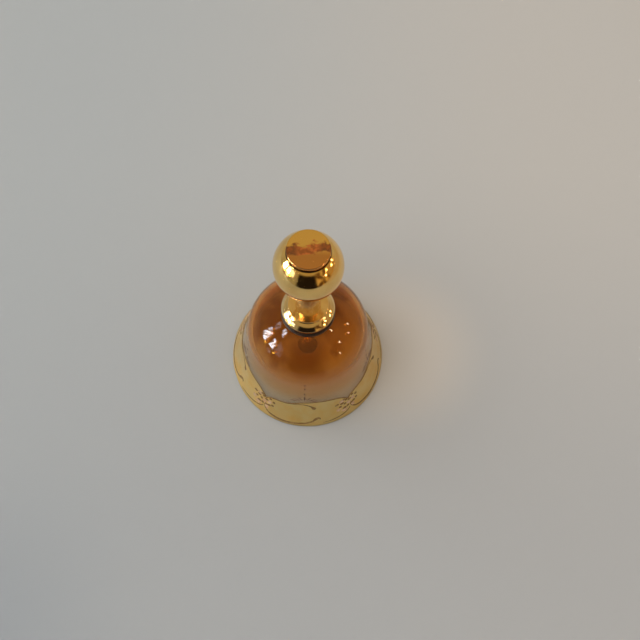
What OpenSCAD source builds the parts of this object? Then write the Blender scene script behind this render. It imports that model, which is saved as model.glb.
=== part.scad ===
// Glass hand bell with a gilded mouth, a stacked brass handle, and a clapper on a short chain.
// Millimetres, +Z up. The bell's axis is Z, and the rim stands on z = 0.

/* [Glass] */
// Outer diameter of the mouth
rim_d = 70; // [66:1:74]
// Height of the glass, up to the flat land under the handle
glass_h = 51.6; // [50:0.2:54]
// Outer radius of the waist, where the flare turns into the shoulder
waist_r = 25.1; // [24:0.1:26.5]
// Thickness of the glass at the rim
rim_wall = 2; // [1.8:0.1:2.2]
// Thickness of the glass at the top
top_wall = 2.4; // [2.2:0.1:2.6]
// Diameter of the hole in the top
hole_d = 7; // [6.6:0.1:7.6]

/* [Gold band] */
// Thickness of the gilding
band_t = 0.12; // [0.08:0.02:0.2]
// Height of the lobes of the upper edge
band_h = 18.8; // [17:0.1:21]
// Height of the dips between the lobes
band_dip_h = 12.2; // [11:0.1:14]
// Number of lobes
lobes = 5; // [4:1:6]

/* [Handle] */
// Largest radius of the collar
collar_r = 10.2; // [10:0.05:10.5]
// Height of the collar
collar_h = 6.8; // [6.7:0.1:7.2]
// Smallest radius of the neck
neck_r = 4.55; // [4.4:0.05:4.8]
// Height of the ball's centre above the top of the collar
ball_rise = 31.2; // [29.5:0.1:32]
// Radius of the ball
ball_r = 11.55; // [11.2:0.05:12]
// Radius of the flat cap
cap_r = 6.9; // [6.4:0.1:7.2]
// Height of the cap above its seat on the ball
cap_h = 1.94; // [1.6:0.02:2.2]

/* [Fixings] */
// Nominal diameter of the rod's thread
rod_d = 4; // [3, 4]
// Thickness of the soft washer under the collar
outer_gasket_t = 1.2; // [1:0.1:1.4]
// Thickness of the soft washer inside
inner_gasket_t = 1; // [0.8:0.1:1.2]
// Thickness of the steel washer
washer_t = 0.8; // [0.8:0.1:1]
// Width of the nut across its flats
nut_af = 7; // [7:0.5:8]
// Height of the nut
nut_h = 3.2; // [2.8:0.1:3.2]

/* [Chain and clapper] */
// Diameter of the chain's wire
wire_d = 0.8; // [0.7:0.05:0.8]
// Height of a link, between the centres of its end bars
link_h = 4.2; // [4:0.1:4.3]
// Width of a link, between the centres of its sides
link_w = 2.8; // [2.8:0.1:3]
// Diameter of the clapper's ball
clapper_d = 9; // [8:0.5:10]

/* [Hidden] */
$fn = 96;

rim_r = rim_d / 2;
link_count = 5;

// Glass outline. The rim is a round bead of the wall's thickness with a narrow flat ground on its underside.
bead_r = rim_wall / 2;
ground_cut = 0.08;
bead_z = bead_r - ground_cut;
flare_tilt = 25;
land_r = 10.4;
waist_h = 34;
steps = 14;

bead = [rim_r - band_t - bead_r, bead_z];
flare_foot = bead + bead_r * [cos(flare_tilt), sin(flare_tilt)];
flare = [
    flare_foot,
    flare_foot + 7.6 * [-sin(flare_tilt), cos(flare_tilt)],
    [waist_r + 2.2, waist_h - 15.6],
    [waist_r, waist_h]
];
shoulder = [
    [waist_r, waist_h],
    [waist_r - 0.95, waist_h + 6.8],
    [waist_r - 5.5, glass_h - 5.2],
    [land_r, glass_h]
];

// Handle
collar_z = glass_h + outer_gasket_t;
neck_z = collar_z + collar_h;
ball_z = neck_z + ball_rise;
collar_bulge_z = collar_z + 3;
collar_foot_r = collar_r - 0.6;
collar_top_r = 7.64;
collar_step_h = 1.4;
step_depth = 0.2;
step_h = 0.35;
neck_top_r = 5.3;
ball_seat_z = ball_z - sqrt(pow(ball_r, 2) - pow(neck_top_r, 2));
cap_seat_z = ball_z + sqrt(pow(ball_r, 2) - pow(cap_r, 2));
cap_z = cap_seat_z + cap_h;
spigot_h = 4;

// Fixings. The rod's crests run in the holes' plain walls, which stand in for the cut threads.
hole_r = rod_d / 2;
crest_r = hole_r - 0.03;
root_r = crest_r - 0.35;
thread_pitch = rod_d > 3 ? 0.7 : 0.5;
pass_r = hole_r + 0.1;
slip = 0.05;
rod_top_z = ball_z + 0.2;
upper_thread_h = 9.1;
glass_ceiling = glass_h - top_wall;
ceiling_r = 8.4;
washer_z = glass_ceiling - inner_gasket_t;
nut_z = washer_z - washer_t;
eye_body_z = nut_z - nut_h;
eye_body_h = 3.2;
eye_body_r = 3;
eye_socket_depth = 2.6;
rod_foot_z = eye_body_z - eye_socket_depth + 0.2;
lower_thread_h = 8.4;

// Hanger loop, chain and clapper. Every bar hangs a small gap under the bar that carries it.
wire_r = wire_d / 2;
hanger_wire_r = 0.5;
hanger_half_w = 1.7;
hanger_bar_z = eye_body_z - eye_body_h - 3.5;
link_half_w = link_w / 2;
link_corner_r = 1;
hang_gap = 0.05;
first_bar_z = hanger_bar_z + hanger_wire_r + wire_r + hang_gap;
link_pitch = link_h - 2 * wire_r - hang_gap;
clapper_eye_z = first_bar_z - link_count * link_pitch;
clapper_eye_h = 3.4;
clapper_stem_r = 0.9;
clapper_r = clapper_d / 2;
clapper_stem_gap = 0.5;
clapper_z = clapper_eye_z - clapper_eye_h - clapper_stem_gap - clapper_r;
stem_socket_depth = 3;

function bezier(p, t) =
    pow(1 - t, 3) * p[0] + 3 * pow(1 - t, 2) * t * p[1] + 3 * (1 - t) * pow(t, 2) * p[2] + pow(t, 3) * p[3];

function bezier_slope(p, t) =
    pow(1 - t, 2) * (p[1] - p[0]) + 2 * (1 - t) * t * (p[2] - p[1]) + pow(t, 2) * (p[3] - p[2]);

// Unit normal on the right of a curve that climbs, which is the side away from the axis
function outward(p, t) = let (d = bezier_slope(p, t)) [d[1], -d[0]] / norm(d);

// Points of a curve, moved outward by an amount that may change along it. first and last pick the points kept.
function curve(p, n, out_0 = 0, out_1 = 0, first = 0, last = -1) =
    [for (i = [first:last < 0 ? n : last])
        bezier(p, i / n) + outward(p, i / n) * (out_0 + (out_1 - out_0) * i / n)];

function arc(centre, r, from, to, n, first = 0, last = -1) =
    [for (i = [first:last < 0 ? n : last])
        let (a = from + (to - from) * i / n) centre + r * [cos(a), sin(a)]];

// Centre of the arc that leaves point a with its normal at the given angle and runs through point b
function crown_centre(a, angle, b) =
    let (n = [cos(angle), sin(angle)], d = b - a) a - n * (d * d) / (2 * abs(n * d));

function reversed(points) = [for (i = [len(points) - 1:-1:0]) points[i]];

// The flare carries two thirds of the change in the wall's thickness, and the shoulder the rest
mid_wall = rim_wall + (top_wall - rim_wall) * 2 / 3;
ground_half_angle = acos(bead_z / bead_r);

// Outer side of the rim's bead, from the ground foot up to the flare
function rim_side(r, first = 0) =
    arc(bead, r, 270 + ground_half_angle, 360 + flare_tilt, 8, first = first, last = 7);

module glass_outline() {
    polygon(concat(
        curve(flare, steps),
        curve(shoulder, steps, first = 1),
        [[hole_d / 2, glass_h], [hole_d / 2, glass_ceiling], [ceiling_r, glass_ceiling]],
        reversed(curve(shoulder, steps, -mid_wall, -top_wall, first = 1, last = steps - 1)),
        reversed(curve(flare, steps, -rim_wall, -mid_wall)),
        arc(bead, bead_r, flare_tilt + 180, 270 - ground_half_angle, 6, first = 1),
        rim_side(bead_r)
    ));
}

// A ring or disc between two heights, with an optional hole
module ring(r, z0, z1, bore_r = 0) {
    translate([0, 0, z0])
        rotate_extrude()
            translate([bore_r, 0])
                square([r - bore_r, z1 - z0]);
}

// Half outline of a rod with ring grooves at the pitch of its thread
function thread_points(z0, h) =
    [for (i = [0:floor(h / thread_pitch) - 1]) for (p = [[root_r, 0], [crest_r, 0.5]])
        [p[0], z0 + (i + p[1]) * thread_pitch]];

// Closed wire loop in the XZ plane. Its upper bar lies along X at the origin's height.
module wire_loop(half_w, h, corner_r, r) {
    bar = 2 * (half_w - corner_r);
    side = h - 2 * corner_r;
    for (z = [0, -h])
        translate([-bar / 2, 0, z])
            rotate([0, 90, 0])
                cylinder(r = r, h = bar);
    for (x = [-half_w, half_w])
        translate([x, 0, -h + corner_r])
            cylinder(r = r, h = side);
    for (q = [0:3])
        translate([(q == 0 || q == 3 ? 1 : -1) * bar / 2, 0, q < 2 ? -corner_r : corner_r - h])
            rotate([90, 0, 0])
                rotate([0, 0, q * 90])
                    rotate_extrude(angle = 90)
                        translate([corner_r, 0])
                            circle(r = r);
}

module knob_cap() {
    chamfer = 0.25;
    color("goldenrod")
        rotate_extrude()
            polygon([
                [0, cap_seat_z - spigot_h],
                [hole_r - slip, cap_seat_z - spigot_h],
                [hole_r - slip, cap_seat_z],
                [cap_r - step_depth, cap_seat_z],
                [cap_r - step_depth, cap_seat_z + step_h],
                [cap_r, cap_seat_z + step_h],
                [cap_r, cap_z - chamfer],
                [cap_r - chamfer, cap_z],
                [0, cap_z]
            ]);
}

module knob_ball() {
    color("gold")
        difference() {
            intersection() {
                translate([0, 0, ball_z])
                    sphere(r = ball_r);
                ring(ball_r + 1, ball_seat_z, cap_seat_z);
            }
            ring(hole_r, ball_seat_z - 1, rod_top_z + 0.5);
            ring(hole_r, cap_seat_z - spigot_h - 0.1, cap_seat_z + 1);
        }
}

module neck_stem() {
    foot_r = neck_r + 0.35;
    waist_z = neck_z + 10;
    cove = [[foot_r, neck_z], [neck_r + 0.1, neck_z + 2], [neck_r, neck_z + 6], [neck_r, waist_z]];
    rise = [[neck_r, waist_z], [neck_r, waist_z + 4], [neck_top_r - 0.4, ball_seat_z - 3], [neck_top_r, ball_seat_z]];
    color("goldenrod")
        rotate_extrude()
            polygon(concat(
                [[pass_r, neck_z]],
                curve(cove, steps),
                curve(rise, steps, first = 1),
                [[pass_r, ball_seat_z]]
            ));
}

module base_collar() {
    low_r = (pow(collar_bulge_z - collar_z, 2) + pow(collar_r - collar_foot_r, 2)) / (2 * (collar_r - collar_foot_r));
    low_angle = asin((collar_bulge_z - collar_z) / low_r);
    side_r = 0.3;
    side_angle = 36;
    side = [collar_r - side_r, collar_bulge_z];
    bend = side + side_r * [cos(side_angle), sin(side_angle)];
    shoulder_foot = [collar_top_r, neck_z - collar_step_h];
    crown = crown_centre(bend, side_angle, shoulder_foot);
    crown_r = norm(bend - crown);
    crown_angle = atan2(shoulder_foot[1] - crown[1], shoulder_foot[0] - crown[0]);
    color("gold")
        rotate_extrude()
            polygon(concat(
                [[pass_r, collar_z]],
                arc([collar_r - low_r, collar_bulge_z], low_r, -low_angle, 0, steps),
                arc(side, side_r, 0, side_angle, steps, first = 1),
                arc(crown, crown_r, side_angle, crown_angle, steps, first = 1),
                [[collar_top_r, neck_z], [pass_r, neck_z]]
            ));
}

module tie_rod() {
    color("darkgoldenrod")
        rotate_extrude()
            polygon(concat(
                [[0, rod_foot_z]],
                thread_points(rod_foot_z, lower_thread_h),
                [[crest_r, rod_foot_z + lower_thread_h], [crest_r, rod_top_z - upper_thread_h]],
                thread_points(rod_top_z - upper_thread_h, upper_thread_h),
                [[root_r, rod_top_z], [0, rod_top_z]]
            ));
}

module outer_gasket() {
    bevel = 0.4;
    color("dimgray")
        rotate_extrude()
            polygon([
                [pass_r, glass_h],
                [land_r, glass_h],
                [land_r, collar_z - bevel],
                [land_r - bevel, collar_z],
                [pass_r, collar_z]
            ]);
}

module hole_bush() {
    color("dimgray")
        ring(hole_d / 2 - slip, glass_ceiling, glass_h, pass_r);
}

module glass_body() {
    color("peru", 0.6)
        rotate_extrude()
            glass_outline();
}

// The gilding wraps round the rim's outer side and follows the flare. Its upper edge is a row of arches.
module gold_band() {
    last_step = 9;
    rim_first = 3;
    lobe_half_chord = (rim_r - 6) * sin(180 / lobes);
    lobe_drop = band_h - band_dip_h;
    lobe_r = (pow(lobe_half_chord, 2) + pow(lobe_drop, 2)) / (2 * lobe_drop);
    color("darkkhaki")
        intersection() {
            rotate_extrude()
                polygon(concat(
                    rim_side(bead_r + band_t, first = rim_first),
                    curve(flare, steps, band_t, band_t, last = last_step),
                    reversed(curve(flare, steps, last = last_step)),
                    reversed(rim_side(bead_r, first = rim_first))
                ));
            union()
                for (i = [0:lobes - 1])
                    rotate([0, 0, i * 360 / lobes - 90])
                        translate([0, 0, band_h - lobe_r])
                            rotate([0, 90, 0])
                                cylinder(r = lobe_r, h = rim_r + 1);
        }
}

module inner_gasket() {
    color("dimgray")
        ring(7, washer_z, glass_ceiling, pass_r);
}

module washer() {
    color("silver")
        ring(6, nut_z, washer_z, pass_r);
}

module hex_nut() {
    corner_r = nut_af / 2 / cos(30);
    face_r = 0.95 * nut_af / 2;
    bevel_h = (corner_r - face_r) * tan(30);
    color("silver")
        intersection() {
            translate([0, 0, eye_body_z])
                cylinder(r = corner_r, h = nut_h, $fn = 6);
            rotate_extrude()
                polygon([
                    [hole_r, eye_body_z],
                    [face_r, eye_body_z],
                    [corner_r, eye_body_z + bevel_h],
                    [corner_r, nut_z - bevel_h],
                    [face_r, nut_z],
                    [hole_r, nut_z]
                ]);
        }
}

module hanger_eye() {
    chamfer = 0.4;
    eye_foot_z = eye_body_z - eye_body_h;
    corner_r = 1.2;
    color("goldenrod")
        union() {
            rotate_extrude()
                polygon([
                    [0, eye_foot_z],
                    [eye_body_r - chamfer, eye_foot_z],
                    [eye_body_r, eye_foot_z + chamfer],
                    [eye_body_r, eye_body_z],
                    [hole_r, eye_body_z],
                    [hole_r, eye_body_z - eye_socket_depth],
                    [0, eye_body_z - eye_socket_depth]
                ]);
            difference() {
                translate([0, 0, eye_foot_z + corner_r])
                    wire_loop(hanger_half_w, eye_foot_z + corner_r - hanger_bar_z, corner_r, hanger_wire_r);
                ring(eye_body_r, eye_foot_z + 0.3, eye_body_z);
            }
        }
}

// Link number n, counted down from the hanger. Odd links lie in the YZ plane and even ones in the XZ plane.
module chain_link(n) {
    color("goldenrod")
        translate([0, 0, first_bar_z - (n - 1) * link_pitch])
            rotate([0, 0, n % 2 == 1 ? 90 : 0])
                wire_loop(link_half_w, link_h, link_corner_r, wire_r);
}

module chain_link_1() { chain_link(1); }

module chain_link_2() { chain_link(2); }

module chain_link_3() { chain_link(3); }

module chain_link_4() { chain_link(4); }

module chain_link_5() { chain_link(5); }

module clapper_eye() {
    stem_top_z = clapper_eye_z - clapper_eye_h;
    color("goldenrod")
        union() {
            translate([0, 0, clapper_eye_z])
                wire_loop(link_half_w, clapper_eye_h, link_corner_r, wire_r);
            ring(clapper_stem_r, clapper_z + clapper_r - stem_socket_depth + slip, stem_top_z);
        }
}

module clapper_ball() {
    color("goldenrod")
        difference() {
            translate([0, 0, clapper_z])
                sphere(r = clapper_r);
            ring(clapper_stem_r + slip, clapper_z + clapper_r - stem_socket_depth, clapper_z + clapper_r + 1);
        }
}

knob_cap();
knob_ball();
neck_stem();
base_collar();
tie_rod();
outer_gasket();
hole_bush();
glass_body();
gold_band();
inner_gasket();
washer();
hex_nut();
hanger_eye();
chain_link_1();
chain_link_2();
chain_link_3();
chain_link_4();
chain_link_5();
clapper_eye();
clapper_ball();
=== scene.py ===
import math

import bmesh
import bpy
import numpy as np
from mathutils import Matrix, Vector


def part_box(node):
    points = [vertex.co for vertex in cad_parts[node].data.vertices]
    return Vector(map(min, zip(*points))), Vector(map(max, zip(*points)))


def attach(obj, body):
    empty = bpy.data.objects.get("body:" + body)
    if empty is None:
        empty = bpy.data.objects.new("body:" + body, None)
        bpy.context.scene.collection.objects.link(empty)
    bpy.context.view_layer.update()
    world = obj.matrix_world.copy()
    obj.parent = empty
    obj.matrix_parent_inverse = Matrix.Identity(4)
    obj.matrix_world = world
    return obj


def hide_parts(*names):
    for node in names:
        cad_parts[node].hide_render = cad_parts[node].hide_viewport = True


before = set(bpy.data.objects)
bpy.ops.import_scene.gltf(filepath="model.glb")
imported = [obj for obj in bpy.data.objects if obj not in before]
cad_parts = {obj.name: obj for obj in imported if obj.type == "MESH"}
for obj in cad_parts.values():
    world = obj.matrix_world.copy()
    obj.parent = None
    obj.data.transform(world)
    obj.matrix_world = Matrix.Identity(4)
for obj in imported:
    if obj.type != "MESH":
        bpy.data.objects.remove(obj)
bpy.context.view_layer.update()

# A glass hand bell, in metres. The bell's axis is Z and its front is -Y.
# Node graphs are built by small helpers: a value is a number, a colour, a vector or another node's output.

MM = 0.001
LATHE_SEGMENTS = 256
CURVE_STEPS = 48

# ---------------------------------------------------------------- the camera

MOUTH_CENTRE = Vector((0, 0, 0))
CAMERA_DISTANCE = 0.26073
CAMERA_ELEVATION = math.radians(72.3)
CAMERA_PITCH = math.radians(68.88)
CAMERA_YAW = math.radians(3.46)
CAMERA_ROLL = math.radians(3.69)
LENS_MM = 30.94
SENSOR_MM = 36


def make_camera():
    data = bpy.data.cameras.new("camera")
    data.lens = LENS_MM
    data.sensor_width = SENSOR_MM
    data.clip_start = 0.01
    camera = bpy.data.objects.new("camera", data)
    away = Vector((0, -math.cos(CAMERA_ELEVATION), math.sin(CAMERA_ELEVATION)))
    place = MOUTH_CENTRE + CAMERA_DISTANCE * away
    turn = (
        Matrix.Rotation(-CAMERA_YAW, 4, "Z")
        @ Matrix.Rotation(math.pi / 2 - CAMERA_PITCH, 4, "X")
        @ Matrix.Rotation(CAMERA_ROLL, 4, "Z")
    )
    camera.matrix_world = Matrix.Translation(place) @ turn
    bpy.context.collection.objects.link(camera)
    bpy.context.scene.camera = camera


# ---------------------------------------------------------------- outlines


def unit(angle):
    """The direction at an angle in degrees, from the radius towards up."""
    a = math.radians(angle)
    return np.array((math.cos(a), math.sin(a)))


def bezier(p, t):
    return (
        (1 - t) ** 3 * np.array(p[0])
        + 3 * (1 - t) ** 2 * t * np.array(p[1])
        + 3 * (1 - t) * t**2 * np.array(p[2])
        + t**3 * np.array(p[3])
    )


def outward(p, t):
    """Unit normal of a curve that climbs, on the side away from the axis."""
    p = [np.array(q) for q in p]
    d = (1 - t) ** 2 * (p[1] - p[0]) + 2 * (1 - t) * t * (p[2] - p[1]) + t**2 * (p[3] - p[2])
    return np.array((d[1], -d[0])) / np.hypot(*d)


def curve(p, out_0=0.0, out_1=0.0, n=CURVE_STEPS, start=0.0, end=1.0):
    """Points of a curve, moved outward by an amount that may change along it."""
    steps = np.linspace(start, end, n + 1)
    return [bezier(p, t) + outward(p, t) * (out_0 + (out_1 - out_0) * t) for t in steps]


def arc(centre, r, start, end, n=16):
    return [np.array(centre) + r * unit(a) for a in np.linspace(start, end, n + 1)]


def fillet(before, corner, after, r, n=6):
    """A round corner of radius r in place of a sharp one."""
    corner = np.array(corner)
    a = (np.array(before) - corner) / np.hypot(*(np.array(before) - corner))
    b = (np.array(after) - corner) / np.hypot(*(np.array(after) - corner))
    half = math.acos(np.clip(a @ b, -1, 1)) / 2
    reach = r / math.tan(half)
    middle = corner + (a + b) / np.hypot(*(a + b)) * r / math.sin(half)
    first, last = corner + a * reach - middle, corner + b * reach - middle
    out = []
    for t in np.linspace(0, 1, n + 1):
        v = first * (1 - t) + last * t
        out.append(middle + v / np.hypot(*v) * r)
    return out


# ---------------------------------------------------------------- meshes


def new_object(name, mesh):
    piece = bpy.data.objects.new(name, mesh)
    bpy.context.collection.objects.link(piece)
    return piece


def finish_mesh(name, bm, sharp=35.0):
    bmesh.ops.remove_doubles(bm, verts=bm.verts, dist=1e-7)
    bmesh.ops.recalc_face_normals(bm, faces=bm.faces)
    mesh = bpy.data.meshes.new(name)
    bm.to_mesh(mesh)
    bm.free()
    mesh.shade_smooth()
    mesh.set_sharp_from_angle(angle=math.radians(sharp))
    return new_object(name, mesh)


def lathe(name, outline, segments=LATHE_SEGMENTS):
    """Turns a closed outline of (radius, height) points round the axis."""
    bm = bmesh.new()
    rings = []
    for r, z in outline:
        if r < 1e-7:
            rings.append([bm.verts.new((0, 0, z))])
            continue
        turns = [2 * math.pi * i / segments for i in range(segments)]
        rings.append([bm.verts.new((r * math.sin(a), -r * math.cos(a), z)) for a in turns])
    for low, high in zip(rings, rings[1:] + rings[:1]):
        for i in range(segments):
            j = (i + 1) % segments
            corners = [low[i % len(low)], low[j % len(low)], high[j % len(high)], high[i % len(high)]]
            corners = list(dict.fromkeys(corners))
            if len(corners) > 2:
                bm.faces.new(corners)
    return finish_mesh(name, bm)


# ---------------------------------------------------------------- the glass

glass_low, glass_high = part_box("glass_body")
RIM_R = glass_high.x
GLASS_TOP = glass_high.z
RIM_WALL = 2.0 * MM
TOP_WALL = 2.4 * MM
MID_WALL = RIM_WALL + (TOP_WALL - RIM_WALL) * 2 / 3
HOLE_R = 3.5 * MM
WAIST = np.array((25.1, 34.0)) * MM
LAND_R = 10.4 * MM
CEILING_R = 8.4 * MM
BEAD_R = RIM_WALL / 2
BEAD = np.array((RIM_R - BEAD_R, BEAD_R - 0.08 * MM))
FLARE_TILT = 25.0
FLARE_FOOT = BEAD + BEAD_R * unit(FLARE_TILT)
FLARE = [
    FLARE_FOOT,
    FLARE_FOOT + 7.6 * MM * unit(FLARE_TILT + 90),
    WAIST + np.array((2.2, -15.6)) * MM,
    WAIST,
]
SHOULDER = [
    WAIST,
    WAIST + np.array((-0.95, 6.8)) * MM,
    np.array((WAIST[0] - 5.5 * MM, GLASS_TOP - 5.2 * MM)),
    np.array((LAND_R, GLASS_TOP)),
]


def glass_outline():
    ground = math.degrees(math.acos(BEAD[1] / BEAD_R))
    ceiling = GLASS_TOP - TOP_WALL
    hole_top = fillet((LAND_R, GLASS_TOP), (HOLE_R, GLASS_TOP), (HOLE_R, ceiling), 0.3 * MM)
    hole_low = fillet((HOLE_R, GLASS_TOP), (HOLE_R, ceiling), (CEILING_R, ceiling), 0.3 * MM)
    inner_shoulder = curve(SHOULDER, -MID_WALL, -TOP_WALL, end=13 / 14)
    return (
        curve(FLARE)
        + curve(SHOULDER)[1:]
        + hole_top
        + hole_low
        + [np.array((CEILING_R, ceiling))]
        + inner_shoulder[:0:-1]
        + curve(FLARE, -RIM_WALL, -MID_WALL)[::-1]
        + arc(BEAD, BEAD_R, FLARE_TILT + 180, 270 - ground, 12)[1:]
        + arc(BEAD, BEAD_R, 270 + ground, 360 + FLARE_TILT, 16)[:-1]
    )


# Lookup of the outer surface by height, for what lies on the glass
surface = np.array(curve(FLARE, n=400) + curve(SHOULDER, n=400)[1:])
surface_slope = np.gradient(surface, axis=0)


def on_glass(angle, z, out=0.0):
    """The point on the glass at an angle in degrees from the front and a height, moved off the surface."""
    r = np.interp(z, surface[:, 1], surface[:, 0])
    dr = np.interp(z, surface[:, 1], surface_slope[:, 0])
    dz = np.interp(z, surface[:, 1], surface_slope[:, 1])
    length = math.hypot(dr, dz)
    r, z = r + out * dz / length, z - out * dr / length
    a = math.radians(angle)
    return Vector((r * math.sin(a), -r * math.cos(a), z))


# ---------------------------------------------------------------- the gilding

LOBES = 5
LOBE_TURN = 360 / LOBES
BAND_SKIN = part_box("gold_band")[1].x - RIM_R
# How far the gilding turns under the rim, in degrees
RIM_WRAP = 57.5
# The upper edge of one lobe: degrees round from its middle, and height in mm. It starts and ends in a dip.
LOBE_EDGE = [
    (-36, 12.2), (-33.5, 14.0), (-28, 15.2), (-20, 15.9), (-12, 17.0), (-5, 18.4),
    (5, 18.8), (14, 18.4), (22, 17.6), (28, 16.4), (32.5, 14.4), (36, 12.2),
]


def smooth_line(points, n):
    """n + 1 points on a Catmull-Rom curve through the points given."""
    p = [np.array(q, float) for q in points]
    p = [2 * p[0] - p[1]] + p + [2 * p[-1] - p[-2]]
    out = []
    for s in np.linspace(0, len(points) - 1, n + 1):
        i = min(int(s), len(points) - 2)
        t = s - i
        a, b, c, d = p[i : i + 4]
        out.append(
            0.5 * (2 * b + (c - a) * t + (2 * a - 5 * b + 4 * c - d) * t**2 + (3 * b - a - 3 * c + d) * t**3)
        )
    return out


edge_line = np.array(smooth_line(LOBE_EDGE, 200))


def band_edge(angle):
    """Height of the gilding's upper edge, in metres."""
    local = (angle + LOBE_TURN / 2) % LOBE_TURN - LOBE_TURN / 2
    return np.interp(local, edge_line[:, 0], edge_line[:, 1]) * MM


def make_band():
    """The gilding wraps round the rim's outer side, follows the flare, and ends at the lobed edge."""
    bm = bmesh.new()
    across, rows = 900, 30
    foot = FLARE_FOOT[1]
    grids = []
    for out in (0.0, BAND_SKIN):
        rim = arc(BEAD, BEAD_R + out, FLARE_TILT - RIM_WRAP, FLARE_TILT, 12)[:-1]
        grid = []
        for i in range(across):
            angle = 360 * i / across
            a = math.radians(angle)
            column = [bm.verts.new((r * math.sin(a), -r * math.cos(a), z)) for r, z in rim]
            heights = np.linspace(foot, band_edge(angle), rows + 1)
            column += [bm.verts.new(on_glass(angle, height, out)) for height in heights]
            grid.append(column)
        grids.append(grid)
    inner, outer = grids
    last = len(inner[0]) - 1
    for i in range(across):
        j = (i + 1) % across
        for k in range(last):
            bm.faces.new((outer[i][k], outer[j][k], outer[j][k + 1], outer[i][k + 1]))
            bm.faces.new((inner[i][k], inner[i][k + 1], inner[j][k + 1], inner[j][k]))
        bm.faces.new((outer[i][0], inner[i][0], inner[j][0], outer[j][0]))
        bm.faces.new((outer[i][last], outer[j][last], inner[j][last], inner[i][last]))
    return finish_mesh("gilded_band", bm)


# ---------------------------------------------------------------- the ornament

# Strokes drawn on one lobe and repeated on every lobe: each point is degrees round from the lobe's middle,
# height in mm and the stroke's width in mm
TENDRILS = (
    (
        (-20, 15.4, 0.1), (-12, 16.4, 0.3), (-5, 17.0, 0.4), (-1, 16.6, 0.45), (2, 15.8, 0.5),
        (4.2, 14.8, 0.9), (5.6, 13.7, 1.3), (6.2, 13.0, 0.6),
    ),
    (
        (-36, 8.0, 0.3), (-34.5, 5.6, 0.5), (-31, 3.8, 0.7), (-26, 2.9, 0.85), (-18, 2.4, 0.9),
        (-8, 2.6, 0.9), (0, 3.3, 0.8), (4, 4.3, 0.7), (6.5, 5.6, 1.1), (8.4, 6.2, 1.1), (9.8, 5.8, 0.6),
        (10, 5.2, 0.2),
    ),
    ((12, 2.6, 0.1), (20, 2.8, 0.45), (28, 3.5, 0.5), (33, 4.6, 0.45), (35.5, 6.0, 0.3)),
)
# The blossom in each dip: brown spots and paler petals, each a short fat stroke, placed by degrees round
# from the dip and height in mm
SPOTS = (
    (-6.6, 11.0), (-8.5, 9.2), (-4, 9.9), (-5.2, 7.2), (-2, 7.6), (1.5, 8.0), (4, 8.3), (-4.4, 13.2),
    (-2.3, 12.3), (0.8, 11.2), (4.2, 13.2), (7.6, 11.8), (-11, 11.6), (7, 9.2),
)
PETALS = ((-6.4, 12.6), (-0.6, 9.4), (3.8, 10.6), (-5.6, 5.8), (-10.4, 7.6), (2.2, 6.4))
# Half the reach of a dab round the bell in degrees and up it in mm, and its width in mm
SPOT_SIZE = (1.9, 0.6, 1.0)
PETAL_SIZE = (2.6, 0.9, 1.6)
# The ways that the dabs lean, taken in turn
DAB_LEANS = ((1, 0.2), (0.5, 0.8), (0.6, -0.7))
# The spray on the clear glass over each lobe: where its stem stands, and the height of its foot
SPRAY_STEM = -2.5
SPRAY_FOOT = 19.2
# Each leaf of the spray: degrees of lean, and how far out it starts and ends in mm
LEAVES = ((0, 1.4, 4.6), (38, 1.8, 4.6), (66, 2.2, 5.0), (84, 3.4, 6.0))
LEAF_WIDTH = 0.5
# Dashes over the spray: foot and top
DASHES = ((25.4, 26.6), (30.4, 31.6), (34.2, 35.0))
STROKE_RISE = 0.09 * MM
# All strokes are drawn this much wider than the widths given, and none is finer than this, in mm
STROKE_WEIGHT = 1.5
FINEST_STROKE = 0.06
# The line that follows the gilding's upper edge: its width, and how far below the edge it runs, in mm
EDGE_WIDTH = 0.35
EDGE_DROP = 0.15
# A stroke's section: fractions of its half-width, and of its rise
STROKE_SECTION = ((-1.0, -0.3), (-0.7, 0.6), (0.0, 1.0), (0.7, 0.6), (1.0, -0.3))


def stroke(bm, points, turn, skin):
    """A low rounded ridge on the glass or its gilding, along a smooth line."""
    line = smooth_line(points, 10 * (len(points) - 1))
    foot = [on_glass(turn + p[0], p[1] * MM, skin) for p in line]
    above = [on_glass(turn + p[0], p[1] * MM, skin + STROKE_RISE) for p in line]
    rings = []
    for i, point in enumerate(line):
        along = foot[min(i + 1, len(foot) - 1)] - foot[max(i - 1, 0)]
        up = (above[i] - foot[i]).normalized()
        side = up.cross(along).normalized()
        half = max(point[2] * STROKE_WEIGHT, FINEST_STROKE) * MM / 2
        section = [foot[i] + side * s * half + up * h * STROKE_RISE for s, h in STROKE_SECTION]
        rings.append([bm.verts.new(corner) for corner in section])
    count = len(STROKE_SECTION)
    for a, b in zip(rings, rings[1:]):
        for k in range(count):
            m = (k + 1) % count
            bm.faces.new((a[k], a[m], b[m], b[k]))
    bm.faces.new(rings[0][::-1])
    bm.faces.new(rings[-1])


def dab(bm, turn, spot, index, size):
    """One short fat stroke of a blossom, leaning its own way."""
    u, z = spot
    reach_u, reach_z, width = size
    lean = DAB_LEANS[index % len(DAB_LEANS)]
    shape = ((-1, 0.3), (-1 / 3, width), (1 / 3, width), (1, 0.2))
    points = [(u + t * lean[0] * reach_u, z + t * lean[1] * reach_z, wide) for t, wide in shape]
    stroke(bm, points, turn, BAND_SKIN)


def make_scrolls():
    bm = bmesh.new()
    for lobe in range(LOBES):
        turn = lobe * LOBE_TURN
        for points in TENDRILS:
            stroke(bm, points, turn, BAND_SKIN)
        for index, spot in enumerate(SPOTS):
            dab(bm, turn + LOBE_TURN / 2, spot, index, SPOT_SIZE)
        edge = [(u, z - EDGE_DROP, EDGE_WIDTH) for u, z in LOBE_EDGE]
        stroke(bm, edge, turn, BAND_SKIN)
    return finish_mesh("gilded_scrolls", bm)


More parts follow.
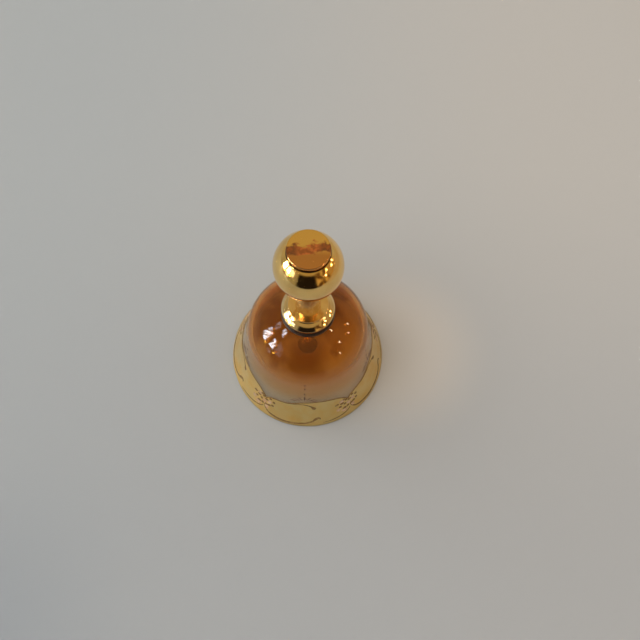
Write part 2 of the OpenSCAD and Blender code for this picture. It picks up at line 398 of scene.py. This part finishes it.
def make_petals():
    bm = bmesh.new()
    for lobe in range(LOBES):
        for index, spot in enumerate(PETALS):
            dab(bm, (lobe + 0.5) * LOBE_TURN, spot, index, PETAL_SIZE)
    return finish_mesh("petals", bm)


def leaf(lean, start, end):
    """A leaf of the spray, with thin ends and a fat middle, as points for a stroke."""
    turn_per_mm = math.degrees(MM / np.interp(SPRAY_FOOT * MM, surface[:, 1], surface[:, 0]))
    way = math.radians(lean)
    points = []
    for t, width in ((0, 0.3), (0.35, 1.0), (0.65, 1.0), (1, 0.2)):
        out = start + (end - start) * t
        u = SPRAY_STEM + out * math.sin(way) * turn_per_mm
        points.append((u, SPRAY_FOOT + out * math.cos(way), width * LEAF_WIDTH))
    return points


def make_sprays():
    bm = bmesh.new()
    lines = [leaf(side * lean, start, end) for lean, start, end in LEAVES for side in (1, -1)]
    for low, high in DASHES:
        lines.append([(SPRAY_STEM, z, LEAF_WIDTH) for z in (low, (low + high) / 2, high)])
    for lobe in range(LOBES):
        for line in lines:
            stroke(bm, line, lobe * LOBE_TURN, 0.0)
    return finish_mesh("sprays", bm)


# ---------------------------------------------------------------- the handle

collar_low, collar_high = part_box("base_collar")
neck_low, neck_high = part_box("neck_stem")
ball_low, ball_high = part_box("knob_ball")
cap_low, cap_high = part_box("knob_cap")
BALL_R = 11.55 * MM
NECK_TOP_R = 5.3 * MM
CAP_R = cap_high.x
BALL_Z = ball_low.z + math.sqrt(BALL_R**2 - NECK_TOP_R**2)
CAP_SEAT = ball_high.z
NECK_WAIST_R = 4.55 * MM
ROD_R = 2.1 * MM
# The collar: height of its widest part and how far its foot tucks in, the round above the widest part and
# where that round ends in degrees, and the step at the top
COLLAR_BULGE = 3.0 * MM
COLLAR_TUCK = 0.6 * MM
COLLAR_ROUND_R = 0.3 * MM
COLLAR_ROUND_END = 36
COLLAR_STEP = 1.4 * MM
COLLAR_TOP_R = 7.64 * MM


def collar_outline():
    bulge = np.array((collar_high.x, collar_low.z + COLLAR_BULGE))
    low_r = (COLLAR_BULGE**2 + COLLAR_TUCK**2) / (2 * COLLAR_TUCK)
    low_angle = math.degrees(math.asin(COLLAR_BULGE / low_r))
    side = bulge - (COLLAR_ROUND_R, 0)
    normal = unit(COLLAR_ROUND_END)
    bend = side + COLLAR_ROUND_R * normal
    step_foot = np.array((COLLAR_TOP_R, collar_high.z - COLLAR_STEP))
    reach = step_foot - bend
    crown_r = reach @ reach / (2 * abs(normal @ reach))
    crown = bend - crown_r * normal
    crown_angle = math.degrees(math.atan2(*(step_foot - crown)[::-1]))
    lower = arc((bulge[0] - low_r, bulge[1]), low_r, -low_angle, 0, 24)
    foot = fillet((ROD_R, collar_low.z), lower[0], lower[4], 0.15 * MM)
    lip = (COLLAR_TOP_R, collar_high.z)
    return (
        [(ROD_R, collar_low.z)]
        + foot
        + lower[3:]
        + arc(side, COLLAR_ROUND_R, 0, COLLAR_ROUND_END, 24)[1:]
        + arc(crown, crown_r, COLLAR_ROUND_END, crown_angle, 16)[1:]
        + fillet(step_foot, lip, (ROD_R, collar_high.z), 0.12 * MM, 4)
        + [(ROD_R, collar_high.z)]
    )


def neck_outline():
    waist = np.array((NECK_WAIST_R, neck_low.z + 10 * MM))
    foot = np.array((NECK_WAIST_R + 0.35 * MM, neck_low.z))
    seat = ball_low.z
    cove = [foot, np.array((NECK_WAIST_R + 0.1 * MM, neck_low.z + 2 * MM)), waist - (0, 4 * MM), waist]
    rise = [
        waist,
        waist + (0, 4 * MM),
        np.array((NECK_TOP_R - 0.4 * MM, seat - 3 * MM)),
        np.array((NECK_TOP_R, seat)),
    ]
    return [(ROD_R, neck_low.z)] + curve(cove) + curve(rise)[1:] + [(ROD_R, seat)]


def gasket_outline():
    low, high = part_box("outer_gasket")
    edge = (high.x, high.z)
    return (
        [(ROD_R, low.z), (high.x, low.z)]
        + fillet((high.x, low.z), edge, (ROD_R, high.z), 0.5 * MM, 8)
        + [(ROD_R, high.z)]
    )


def ball_outline():
    low = math.degrees(math.asin((ball_low.z - BALL_Z) / BALL_R))
    high = math.degrees(math.asin((CAP_SEAT - BALL_Z) / BALL_R))
    round_side = arc((0, BALL_Z), BALL_R, low, high, 96)
    return [(0, ball_low.z)] + round_side + [(0, CAP_SEAT)]


def cap_outline():
    step_r, step_top = CAP_R - 0.2 * MM, CAP_SEAT + 0.35 * MM
    crown = cap_high.z
    return (
        [(0, CAP_SEAT), (step_r, CAP_SEAT), (step_r, step_top)]
        + fillet((step_r, step_top), (CAP_R, step_top), (CAP_R, crown), 0.12 * MM, 4)
        + fillet((CAP_R, step_top), (CAP_R, crown), (0, crown), 0.3 * MM, 8)
        + [(r * MM, crown) for r in (6.2, 5.6, 4.5, 3.0, 1.5)]
        + [(0, crown)]
    )


# ---------------------------------------------------------------- node helpers


class Nodes:
    """Adds nodes to a tree and joins them up."""

    def __init__(self, tree):
        self.tree = tree
        tree.nodes.clear()

    def add(self, kind, settings=None, **inputs):
        node = self.tree.nodes.new(kind)
        for name, value in (settings or {}).items():
            setattr(node, name, value)
        for name, value in inputs.items():
            self.join(node.inputs[name.replace("_", " ")], value)
        return node

    def join(self, socket, value):
        if isinstance(value, bpy.types.NodeSocket):
            self.tree.links.new(value, socket)
        else:
            socket.default_value = value

    def math(self, operation, a, b=0.0, clamp=False):
        node = self.add("ShaderNodeMath", {"operation": operation, "use_clamp": clamp})
        self.join(node.inputs[0], a)
        self.join(node.inputs[1], b)
        return node.outputs[0]

    def ramp(self, value, low, high, to_low=0.0, to_high=1.0):
        """Smooth step from low to high."""
        node = self.add("ShaderNodeMapRange", {"interpolation_type": "SMOOTHSTEP"})
        for name, v in (
            ("Value", value), ("From Min", low), ("From Max", high), ("To Min", to_low), ("To Max", to_high),
        ):
            self.join(node.inputs[name], v)
        return node.outputs["Result"]

    def mix(self, factor, a, b):
        node = self.add("ShaderNodeMix", {"data_type": "RGBA"})
        self.join(node.inputs[0], factor)
        self.join(node.inputs[6], a)
        self.join(node.inputs[7], b)
        return node.outputs[2]

    def noise(self, vector, scale, detail=3.0, roughness=0.5, distortion=0.0):
        node = self.add(
            "ShaderNodeTexNoise", None, Vector=vector, Scale=scale, Detail=detail, Roughness=roughness,
            Distortion=distortion,
        )
        return node.outputs["Fac"]

    def scaled(self, vector, size):
        node = self.add("ShaderNodeVectorMath", {"operation": "MULTIPLY"})
        self.join(node.inputs[0], vector)
        self.join(node.inputs[1], size)
        return node.outputs[0]

    def place(self):
        """The point's place on the object, in metres."""
        return self.add("ShaderNodeTexCoord").outputs["Object"]

    def parts(self, vector):
        return self.add("ShaderNodeSeparateXYZ", None, Vector=vector).outputs

    def bump(self, height, strength, distance):
        return self.add(
            "ShaderNodeBump", None, Height=height, Strength=strength, Distance=distance
        ).outputs["Normal"]


def rgba(r, g, b):
    return (r, g, b, 1.0)


def new_material(name):
    material = bpy.data.materials.new(name)
    material.use_nodes = True
    return material, Nodes(material.node_tree)


def surface_shader(nodes, **inputs):
    shader = nodes.add("ShaderNodeBsdfPrincipled", None, **inputs)
    out = nodes.add("ShaderNodeOutputMaterial")
    nodes.tree.links.new(shader.outputs[0], out.inputs["Surface"])
    return shader


def slab(n, value, low, high, soft=0.02):
    """1 between two values, falling to 0 across soft edges."""
    return n.math("MULTIPLY", n.ramp(value, low - soft, low + soft), n.ramp(value, high + soft, high - soft))


# ---------------------------------------------------------------- materials

# Painted shade: the near-black brown of the dark gaps where the brass pieces meet, under the cap and at the
# collar's foot
JOINT_SHADE = (0.06, 0.025, 0.012, 1.0)


def brass(name, bright, dull, rough=(0.07, 0.16), dull_size=220.0, scratch=0.12, seam=None):
    """Polished brass: its colour drifts, handling changes its gloss, and fine scratches run round it.

    A seam is two heights, with clean brass at the first and painted shade from the second on, darkening the
    gap where the piece meets the next one.
    """
    material, n = new_material(name)
    place = n.place()
    drift = n.noise(place, dull_size, 4.0, 0.6)
    tone = n.mix(n.ramp(drift, 0.42, 0.72), bright, dull)
    if seam:
        tone = n.mix(n.ramp(n.parts(place)[2], *seam), tone, JOINT_SHADE)
    smear = n.noise(n.scaled(place, (1.0, 1.0, 0.5)), 420.0, 5.0, 0.65)
    fine = n.noise(n.scaled(place, (1.0, 1.0, 14.0)), 1500.0, 2.0, 0.6)
    surface_shader(
        n,
        Base_Color=tone,
        Metallic=1.0,
        Roughness=n.ramp(smear, 0.35, 0.75, rough[0], rough[1]),
        Normal=n.bump(fine, scratch, 0.02 * MM),
    )
    return material


def cap_brass():
    """The cap's brass, with a painted reflection of the room on its top and painted shade at its foot."""
    material, n = new_material("cap_brass")
    place = n.place()
    x, y, z = n.parts(place)[:3]
    cloud = n.noise(n.scaled(place, (1.0, 1.5, 1.0)), 260.0, 5.0, 0.6, 0.6)
    wander = n.math("MULTIPLY", n.math("SUBTRACT", cloud, 0.5), 8.0 * MM)
    middle = n.math("SUBTRACT", n.math("MULTIPLY", x, 0.1), 0.2 * MM)
    off = n.math("ABSOLUTE", n.math("ADD", n.math("SUBTRACT", y, middle), wander))
    # Painted reflection of the room in the flat top: a wandering red-brown belt across it, darker at its
    # ends
    belt = n.ramp(off, 2.2 * MM, 1.1 * MM)
    ends = n.ramp(n.math("ABSOLUTE", x), 2.2 * MM, 4.6 * MM)
    # Painted reflection: the top's gold is darker orange at the front and brighter towards the back
    gold = n.mix(n.ramp(y, -2.6 * MM, 1.6 * MM), rgba(0.66, 0.33, 0.12), rgba(0.93, 0.62, 0.20))
    belt_reflection = n.mix(ends, rgba(0.82, 0.30, 0.13), rgba(0.33, 0.15, 0.085))
    belt_reflection = n.mix(n.ramp(n.noise(place, 700.0, 3.0, 0.6), 0.42, 0.62), belt_reflection, rgba(0.50, 0.19, 0.085))
    tone = n.mix(belt, gold, belt_reflection)
    # Painted shade on the cap's side in the step just above its seat on the ball
    tone = n.mix(n.ramp(z, CAP_SEAT + 0.6 * MM, CAP_SEAT + 0.3 * MM), tone, JOINT_SHADE)
    fine = n.noise(n.scaled(place, (1.0, 6.0, 1.0)), 1500.0, 2.0, 0.6)
    surface_shader(
        n,
        Base_Color=tone,
        Metallic=1.0,
        Roughness=n.ramp(cloud, 0.3, 0.8, 0.1, 0.26),
        Normal=n.bump(fine, 0.15, 0.02 * MM),
    )
    return material


# The glass's stain: it changes between two heights, in mm, to a deeper tone
STAIN = (
    (16, 27, (0.92, 0.58, 0.22, 1.0)),
    (27, 36, (0.92, 0.48, 0.15, 1.0)),
    (36, 43, (0.90, 0.42, 0.075, 1.0)),
    (41, 48, (0.85, 0.34, 0.05, 1.0)),
)


def amber_glass():
    """Glass stained amber from the shoulder up, with a faint haze. The stain fades out above the gilding."""
    material, n = new_material("amber_glass")
    place = n.place()
    x, y, z = n.parts(place)[:3]
    drift = n.math("MULTIPLY", n.math("SUBTRACT", n.noise(place, 60.0, 2.0), 0.5), 4 * MM)
    height = n.math("ADD", z, drift)
    tone = rgba(0.95, 0.83, 0.60)
    for low, high, stain in STAIN:
        tone = n.mix(n.ramp(height, low * MM, high * MM), tone, stain)
    cloud = n.ramp(n.noise(n.scaled(place, (1.0, 1.0, 0.7)), 55.0, 3.0, 0.55, 0.4), 0.42, 0.60)
    # Painted shade: a deeper patch at the front centre, for the bell's dark inside and the viewer's dark
    # reflection. The clouds are the stain's own unevenness.
    front_shade = n.math("MULTIPLY", slab(n, x, -8 * MM, 6 * MM, 5 * MM), n.ramp(y, -6 * MM, -14 * MM))
    patch = n.math("MAXIMUM", n.math("MULTIPLY", cloud, 0.7), n.math("MULTIPLY", front_shade, 0.7))
    deep_stain_and_shade = n.math("MULTIPLY", patch, n.ramp(height, 36 * MM, 43 * MM))
    tone = n.mix(deep_stain_and_shade, tone, rgba(0.38, 0.095, 0.014))
    wave = n.noise(n.scaled(place, (1.0, 1.0, 0.6)), 90.0, 2.0, 0.4)
    surface_shader(
        n,
        Base_Color=tone,
        Roughness=n.ramp(height, 34 * MM, 46 * MM, 0.16, 0.03),
        IOR=1.12,
        Transmission_Weight=0.82,
        Coat_Weight=0.38,
        Coat_IOR=1.5,
        Coat_Roughness=0.012,
        Normal=n.bump(wave, 0.25, 0.25 * MM),
    )
    return material


def gilding():
    """Fired gold: soft satin, faintly grained, a shade browner towards its edges."""
    material, n = new_material("gilding")
    place = n.place()
    z = n.parts(place)[2]
    cloud = n.noise(place, 130.0, 4.0, 0.6)
    pale = n.mix(n.ramp(cloud, 0.3, 0.75), rgba(0.78, 0.58, 0.23), rgba(0.78, 0.50, 0.14))
    foot = n.ramp(z, 2.2 * MM, 0.8 * MM)
    tone = n.mix(foot, pale, rgba(0.50, 0.36, 0.15))
    grain = n.noise(place, 5200.0, 2.0, 0.6)
    surface_shader(
        n,
        Base_Color=tone,
        Metallic=1.0,
        Roughness=n.ramp(cloud, 0.3, 0.75, 0.3, 0.42),
        Normal=n.bump(grain, 0.2, 0.015 * MM),
    )
    return material


def scroll_enamel(name, dark, worn):
    """Thin brown lines, worn through to a lighter tone in places."""
    material, n = new_material(name)
    place = n.place()
    wear = n.noise(place, 700.0, 4.0, 0.6)
    surface_shader(
        n,
        Base_Color=n.mix(n.ramp(wear, 0.45, 0.7), dark, worn),
        Roughness=n.ramp(wear, 0.3, 0.7, 0.45, 0.6),
        Specular_IOR_Level=0.15,
        Normal=n.bump(wear, 0.2, 0.02 * MM),
    )
    return material


def steel():
    material, n = new_material("plated_steel")
    place = n.place()
    cloud = n.noise(place, 500.0, 4.0, 0.6)
    fine = n.noise(n.scaled(place, (1.0, 1.0, 10.0)), 1800.0, 2.0)
    surface_shader(
        n,
        Base_Color=n.mix(cloud, rgba(0.60, 0.60, 0.58), rgba(0.72, 0.71, 0.66)),
        Metallic=1.0,
        Roughness=n.ramp(cloud, 0.3, 0.8, 0.2, 0.38),
        Normal=n.bump(fine, 0.2, 0.02 * MM),
    )
    return material


def soft_plastic(name, light, dark, rough, bumps=0.3):
    material, n = new_material(name)
    place = n.place()
    cloud = n.noise(place, 900.0, 4.0, 0.6)
    grain = n.noise(place, 4200.0, 2.0)
    surface_shader(
        n,
        Base_Color=n.mix(cloud, light, dark),
        Roughness=n.ramp(cloud, 0.3, 0.8, rough, rough + 0.15),
        Normal=n.bump(grain, bumps, 0.03 * MM),
    )
    return material


# ---------------------------------------------------------------- the stage

FLOOR_REACH = 3.0
FLOOR_FRONT = 0.35
# Where the light that has come through the glass warms the floor
AMBER_GLOW = (0.042, 0.004, 0.0)


def make_floor():
    bm = bmesh.new()
    reach = FLOOR_REACH
    corners = [(-reach, -FLOOR_FRONT), (reach, -FLOOR_FRONT), (reach, reach), (-reach, reach)]
    bm.faces.new([bm.verts.new((x, y, 0)) for x, y in corners])
    floor = finish_mesh("floor", bm)
    material, n = new_material("floor")
    x, y, z = n.parts(n.place())[:3]
    # Painted light on the floor: cooler and darker to the left, warmer and brighter to the right
    tone = n.mix(n.ramp(x, -0.16, 0.16), rgba(0.53, 0.54, 0.53), rgba(0.64, 0.59, 0.53))
    # Painted shadow of the viewer: the floor is darker in front
    tone = n.mix(n.ramp(y, -0.10, 0.12), n.mix(0.5, tone, rgba(0.42, 0.43, 0.44)), tone)
    # Painted shade in the front-left corner
    corner = n.math("MULTIPLY", n.ramp(x, -0.05, -0.16), n.ramp(y, -0.04, -0.12))
    tone = n.mix(corner, tone, rgba(0.39, 0.41, 0.43))
    tone = n.mix(n.ramp(x, 0.18, 0.4), tone, rgba(0.55, 0.44, 0.30))
    off = n.add("ShaderNodeVectorMath", {"operation": "DISTANCE"})
    n.join(off.inputs[0], n.place())
    n.join(off.inputs[1], AMBER_GLOW)
    tone = n.mix(n.ramp(off.outputs["Value"], 0.05, 0.012), tone, rgba(0.72, 0.645, 0.56))
    surface_shader(n, Base_Color=tone, Roughness=0.6, Specular_IOR_Level=0.3)
    floor.data.materials.append(material)


# The room that the metal and the glass mirror. Angles are in degrees: azimuth from the front towards +X, and
# elevation above the horizon.
LAMPS = ((72, 38), (99, 15), (87, 13), (66, 23), (55, 12))
LAMP_SIZE = 1.6
GLINTS = ((-77, 5), (-57, 8))
HANDS = (0, 67)
WINDOW_LIGHT = (38.0, 41.0, 44.0, 1.0)
LAMP_LIGHT = (52.0, 38.0, 22.0, 1.0)
GLINT_LIGHT = (34.0, 19.0, 1.9, 1.0)
# The window's panes, where they stand on a wall one metre to the left: from and to along the wall, from and
# to in height, and brightness
PANES = (
    (-0.18, 0.02, 0.08, 0.41, 1.0),
    (-0.13, 0.07, 0.50, 0.66, 0.16),
    (-0.53, -0.34, 0.20, 0.47, 1.0),
    (-0.54, -0.40, -0.02, 0.10, 0.14),
    (-0.52, -0.30, 0.74, 0.94, 0.8),
    (-0.97, -0.60, 0.22, 0.64, 0.07),
)


def direction(azimuth, elevation):
    a, e = math.radians(azimuth), math.radians(elevation)
    return (math.sin(a) * math.cos(e), -math.cos(a) * math.cos(e), math.sin(e))


def spot(n, ray, aim, inner, outer):
    """1 within the inner angle of an aim, falling to 0 at the outer angle."""
    near = n.add("ShaderNodeVectorMath", {"operation": "DOT_PRODUCT"})
    n.join(near.inputs[0], ray)
    n.join(near.inputs[1], direction(*aim))
    return n.ramp(near.outputs["Value"], math.cos(math.radians(outer)), math.cos(math.radians(inner)))


def window(n, ray):
    """A window on the left: how bright it is in a direction, its panes broken up by the garden behind it."""
    x, y, z = n.parts(ray)[:3]
    away = n.math("MULTIPLY", x, -1.0)
    u = n.math("DIVIDE", y, away)
    v = n.math("DIVIDE", z, away)
    glow = 0.0
    for near, far, low, high, bright in PANES:
        pane = n.math("MULTIPLY", slab(n, u, near, far, 0.025), slab(n, v, low, high, 0.025))
        glow = n.math("ADD", glow, n.math("MULTIPLY", pane, bright))
    slant = n.math("ADD", u, n.math("MULTIPLY", v, 0.45))
    across = n.add("ShaderNodeCombineXYZ", None, X=slant, Y=n.math("MULTIPLY", v, 0.25), Z=0.0).outputs[0]
    leaves = n.ramp(n.noise(across, 13.0, 2.0, 0.5), 0.40, 0.56, 0.12, 1.0)
    return n.math("MULTIPLY", n.math("MULTIPLY", glow, leaves), n.ramp(x, -0.02, -0.1))


def plain_dome(n, x, z):
    """Soft daylight from the left, for what scatters light: no small bright spots, so no noise."""
    side = n.ramp(n.math("MULTIPLY", x, -1.0), 0.2, 0.9)
    bright = n.math("MULTIPLY", side, n.ramp(z, 0.0, 0.5))
    return n.mix(bright, rgba(0.50, 0.48, 0.445), rgba(2.28, 2.38, 2.5))


def furniture(n, ray, turn, z, room):
    """Brown shapes with lighter edges, low down to the right of the front."""
    wide = slab(n, turn, math.radians(20), math.radians(64), 0.04)
    streaks = n.noise(n.scaled(ray, (1.0, 1.0, 0.25)), 7.0, 3.0, 0.6)
    brown = n.mix(n.ramp(streaks, 0.5, 0.62), rgba(0.10, 0.045, 0.015), rgba(0.62, 0.42, 0.17))
    return n.mix(n.math("MULTIPLY", wide, n.ramp(z, 0.62, 0.5)), room, brown)


def make_world():
    world = bpy.data.worlds.new("studio")
    bpy.context.scene.world = world
    world.use_nodes = True
    world.cycles.sampling_method = "NONE"
    n = Nodes(world.node_tree)
    ray = n.add("ShaderNodeTexCoord").outputs["Generated"]
    x, y, z = n.parts(ray)[:3]
    walls = n.mix(n.ramp(x, -0.7, 0.7), rgba(0.30, 0.28, 0.21), rgba(0.42, 0.27, 0.12))
    room = n.mix(n.ramp(z, 0.15, 0.75), walls, rgba(0.42, 0.32, 0.16))
    back_ceiling = n.math("MULTIPLY", n.ramp(z, 0.75, 0.9), n.ramp(y, -0.1, 0.3))
    room = n.mix(back_ceiling, room, rgba(0.50, 0.37, 0.18))
    back_wall = n.math("MULTIPLY", n.ramp(y, 0.0, 0.6), n.ramp(z, 0.5, 0.1))
    room = n.mix(back_wall, room, rgba(0.44, 0.40, 0.31))
    turn = n.math("ARCTAN2", x, n.math("MULTIPLY", y, -1.0))
    room = furniture(n, ray, turn, z, room)
    viewer = slab(n, turn, math.radians(-32), math.radians(24), 0.05)
    viewer = n.math("MULTIPLY", viewer, n.ramp(z, 0.54, 0.48))
    room = n.mix(viewer, room, rgba(0.014, 0.010, 0.008))
    room = n.mix(spot(n, ray, HANDS, 5, 9), room, rgba(0.42, 0.24, 0.22))
    colour = n.mix(n.math("MINIMUM", window(n, ray), 1.0), room, WINDOW_LIGHT)
    for lamp in LAMPS:
        colour = n.mix(spot(n, ray, lamp, LAMP_SIZE * 0.6, LAMP_SIZE), colour, LAMP_LIGHT)
    for glint in GLINTS:
        colour = n.mix(spot(n, ray, glint, 1.4, 2.6), colour, GLINT_LIGHT)

    path = n.add("ShaderNodeLightPath").outputs
    plain = n.mix(n.ramp(z, -0.1, 0.6), rgba(0.42, 0.41, 0.40), rgba(0.55, 0.54, 0.53))
    scattered = n.math("MAXIMUM", path["Is Diffuse Ray"], n.math("GREATER_THAN", path["Diffuse Depth"], 0.5))
    colour = n.mix(scattered, colour, plain_dome(n, x, z))
    colour = n.mix(path["Is Camera Ray"], colour, plain)
    back = n.add("ShaderNodeBackground", None, Color=colour, Strength=1.0)
    out = n.add("ShaderNodeOutputWorld")
    n.tree.links.new(back.outputs[0], out.inputs["Surface"])


# ---------------------------------------------------------------- putting it together


def dress(piece, material, body, slot, *nodes):
    piece.data.materials.clear()
    piece.data.materials.append(material)
    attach(piece, body)
    if nodes:
        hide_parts(*nodes)
    return piece


def repaint(node, material):
    """A CAD piece whose shape is right keeps it and takes a better material."""
    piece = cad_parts[node]
    for slot in piece.material_slots:
        slot.material = material


bpy.context.scene.view_settings.view_transform = "Standard"
make_camera()
make_floor()
make_world()

handle_brass = brass("handle_brass", rgba(0.86, 0.66, 0.38), rgba(0.78, 0.54, 0.28), (0.13, 0.24))
# Painted shade on the ball just under the cap's seat
ball_seam = (CAP_SEAT - 0.2 * MM, CAP_SEAT - 0.05 * MM)
ball_brass = brass(
    "ball_brass", rgba(0.95, 0.64, 0.23), rgba(0.90, 0.56, 0.18), (0.085, 0.18), seam=ball_seam
)
# Painted shade and dark reflection on the collar's foot, next to the washer
collar_seam = (collar_low.z + 1.8 * MM, collar_low.z + 1.0 * MM)
collar_brass = brass(
    "collar_brass", rgba(0.88, 0.64, 0.31), rgba(0.82, 0.56, 0.25), (0.08, 0.18), seam=collar_seam
)
glass_material = amber_glass()
gold_material = gilding()
washer_dark = rgba(0.022, 0.011, 0.007)
washer_material = soft_plastic("collar_washer", washer_dark, rgba(0.034, 0.017, 0.010), 0.3, 0.05)

dress(lathe("blown_glass", glass_outline()), glass_material, "bell", "amber_glass", "glass_body")
dress(make_band(), gold_material, "bell", "gilding", "gold_band")
scroll_material = scroll_enamel("scroll_brown", rgba(0.22, 0.11, 0.028), rgba(0.40, 0.23, 0.08))
dress(make_scrolls(), scroll_material, "bell", "gilding")
petal_material = scroll_enamel("petal_blush", rgba(0.62, 0.36, 0.20), rgba(0.74, 0.52, 0.32))
dress(make_petals(), petal_material, "bell", "gilding")
spray_material = scroll_enamel("spray_brown", rgba(0.15, 0.08, 0.045), rgba(0.36, 0.24, 0.15))
dress(make_sprays(), spray_material, "bell", "gilding")
dress(lathe("turned_collar", collar_outline()), collar_brass, "bell", "handle_brass", "base_collar")
dress(lathe("collar_washer", gasket_outline()), washer_material, "bell", "gasket_rubber", "outer_gasket")
dress(lathe("turned_neck", neck_outline()), handle_brass, "bell", "handle_brass", "neck_stem")
dress(lathe("polished_ball", ball_outline()), ball_brass, "bell", "handle_brass", "knob_ball")
dress(lathe("flat_cap", cap_outline()), cap_brass(), "bell", "handle_brass", "knob_cap")

chain_brass = brass("chain_brass", rgba(0.84, 0.63, 0.32), rgba(0.60, 0.42, 0.20), (0.18, 0.34), 900.0, 0.2)
clapper_brass = brass(
    "clapper_brass", rgba(0.14, 0.085, 0.045), rgba(0.08, 0.05, 0.03), (0.42, 0.6), 400.0, 0.3
)
steel_material = steel()
rubber = soft_plastic("gasket_rubber", rgba(0.035, 0.032, 0.030), rgba(0.060, 0.055, 0.050), 0.55)
nylon = soft_plastic("bush_nylon", rgba(0.72, 0.69, 0.60), rgba(0.62, 0.59, 0.50), 0.4)
for name in ("hanger_eye", "clapper_eye", *[f"chain_link_{i}" for i in range(1, 6)]):
    repaint(name, chain_brass)
for name in ("tie_rod", "washer", "hex_nut"):
    repaint(name, steel_material)
repaint("inner_gasket", rubber)
repaint("clapper_ball", clapper_brass)
repaint("hole_bush", nylon)
